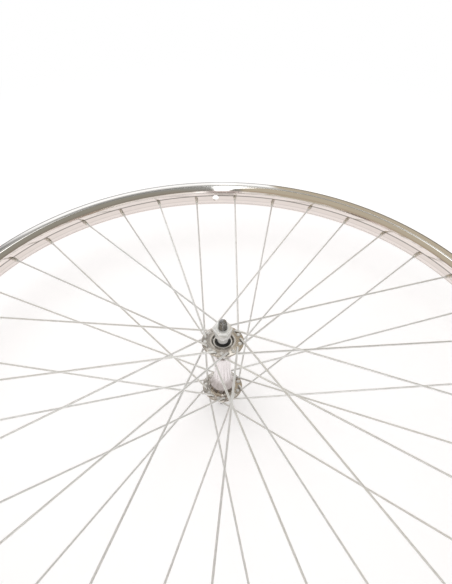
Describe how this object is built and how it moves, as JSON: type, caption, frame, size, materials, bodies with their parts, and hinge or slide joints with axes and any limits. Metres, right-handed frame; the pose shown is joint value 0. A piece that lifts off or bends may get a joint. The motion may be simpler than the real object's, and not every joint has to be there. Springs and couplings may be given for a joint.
{
  "type": "bicycle wheel",
  "caption": "Bare front bicycle wheel with a polished rim, crossed wire spokes and a small-flange hub that turns on a solid axle.",
  "frame": {"origin": "middle of the axle, at the centre of the wheel", "axes": "+Z along the axle, with the wheel lying flat; +Y towards the valve hole in the rim"},
  "size_m": [0.6019, 0.602, 0.116],
  "materials": {
    "polished_rim": "mirror polished",
    "polished_hub": "polished",
    "plated_nipple": "nickel plated",
    "black_axle": "black oxide",
    "spoke_steel": "drawn wire",
    "bearing_steel": "ground and hardened",
    "bright_cone": "bright turned",
    "bright_cap": "chrome plated",
    "black_seal": "matt",
    "zinc_nut": "zinc plated"
  },
  "bodies": {
    "axle_set": {"axle": "black_axle", "cone_upper": "bright_cone", "cone_lower": "bright_cone", "lock_washer_upper": "zinc_nut", "lock_washer_lower": "zinc_nut", "locknut_upper": "zinc_nut", "locknut_lower": "zinc_nut", "dust_seal_upper": "black_seal", "dust_seal_lower": "black_seal"},
    "wheel": {"rim": "polished_rim", "hub_shell": "polished_hub", "spoke_nipples": "plated_nipple", "spoke_01": "spoke_steel", "spoke_02": "spoke_steel", "spoke_03": "spoke_steel", "spoke_04": "spoke_steel", "spoke_05": "spoke_steel", "spoke_06": "spoke_steel", "spoke_07": "spoke_steel", "spoke_08": "spoke_steel", "spoke_09": "spoke_steel", "spoke_10": "spoke_steel", "spoke_11": "spoke_steel", "spoke_12": "spoke_steel", "spoke_13": "spoke_steel", "spoke_14": "spoke_steel", "spoke_15": "spoke_steel", "spoke_16": "spoke_steel", "spoke_17": "spoke_steel", "spoke_18": "spoke_steel", "spoke_19": "spoke_steel", "spoke_20": "spoke_steel", "spoke_21": "spoke_steel", "spoke_22": "spoke_steel", "spoke_23": "spoke_steel", "spoke_24": "spoke_steel", "spoke_25": "spoke_steel", "spoke_26": "spoke_steel", "spoke_27": "spoke_steel", "spoke_28": "spoke_steel", "spoke_29": "spoke_steel", "spoke_30": "spoke_steel", "spoke_31": "spoke_steel", "spoke_32": "spoke_steel", "spoke_33": "spoke_steel", "spoke_34": "spoke_steel", "spoke_35": "spoke_steel", "spoke_36": "spoke_steel", "bearing_cup_upper": "bearing_steel", "bearing_cup_lower": "bearing_steel", "dust_cap_upper": "bright_cap", "dust_cap_lower": "bright_cap"},
    "balls_upper": {"bearing_balls_upper": "bearing_steel"},
    "balls_lower": {"bearing_balls_lower": "bearing_steel"}
  },
  "joints": [
    {"name": "wheel_spin", "type": "hinge", "parent": "axle_set", "child": "wheel", "pos_m": [0, 0, 0], "axis": [0, 0, 1], "continuous": true},
    {"name": "balls_upper_roll", "type": "hinge", "parent": "axle_set", "child": "balls_upper", "pos_m": [0, 0, 0.0274], "axis": [0, 0, 1], "continuous": true},
    {"name": "balls_lower_roll", "type": "hinge", "parent": "axle_set", "child": "balls_lower", "pos_m": [0, 0, -0.0274], "axis": [0, 0, 1], "continuous": true}
  ],
  "couplings": [
    {"joint": "balls_upper_roll", "follows": "wheel_spin", "ratio": 0.6132},
    {"joint": "balls_lower_roll", "follows": "wheel_spin", "ratio": 0.6132}
  ]
}
